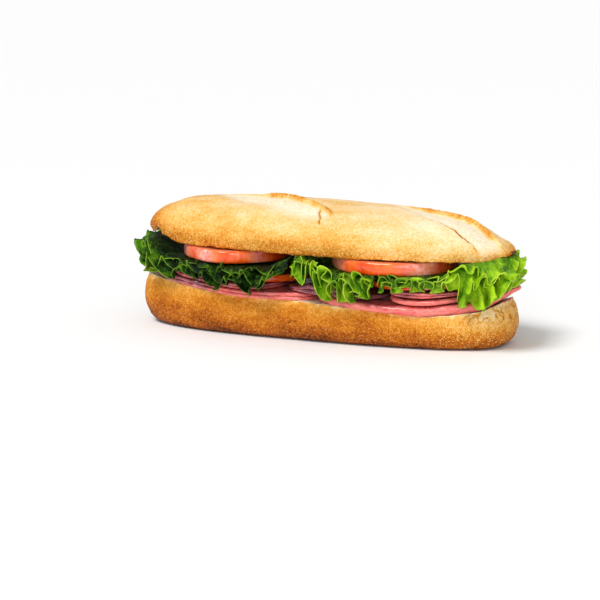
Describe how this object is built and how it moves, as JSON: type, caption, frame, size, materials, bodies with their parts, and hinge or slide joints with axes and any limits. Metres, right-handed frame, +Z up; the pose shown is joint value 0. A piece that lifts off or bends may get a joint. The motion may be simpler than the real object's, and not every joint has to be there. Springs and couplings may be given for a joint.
{
  "type": "deli sandwich",
  "caption": "Long crusty roll, slit and filled with folded ham, tomato slices and ruffled lettuce, lying on its flat base.",
  "frame": {"origin": "middle of the heel's flat base, on the surface the sandwich lies on", "axes": "+X along the roll towards the end with the pointed crown, -Y towards the shown side, +Z up"},
  "size_m": [0.2355, 0.1005, 0.0793],
  "materials": {
    "crust": "golden baked crust, floury and pale on top, fine pebbled specks",
    "ham": "moist pink cooked ham with paler streaks",
    "tomato": "wet red tomato skin and flesh",
    "lettuce": "waxy green leaf, pale veins and yellow-green frill edges"
  },
  "bodies": {
    "root": {"heel": "crust", "crown": "crust", "ham_lower_left": "ham", "ham_lower_right": "ham", "ham_middle": "ham", "ham_upper_left": "ham", "ham_upper_right": "ham", "ham_top_right": "ham", "tomato_lower_left": "tomato", "tomato_lower_right": "tomato", "tomato_upper_left": "tomato", "tomato_upper_right": "tomato", "lettuce_left": "lettuce", "lettuce_middle": "lettuce", "lettuce_right": "lettuce"}
  },
  "joints": []
}
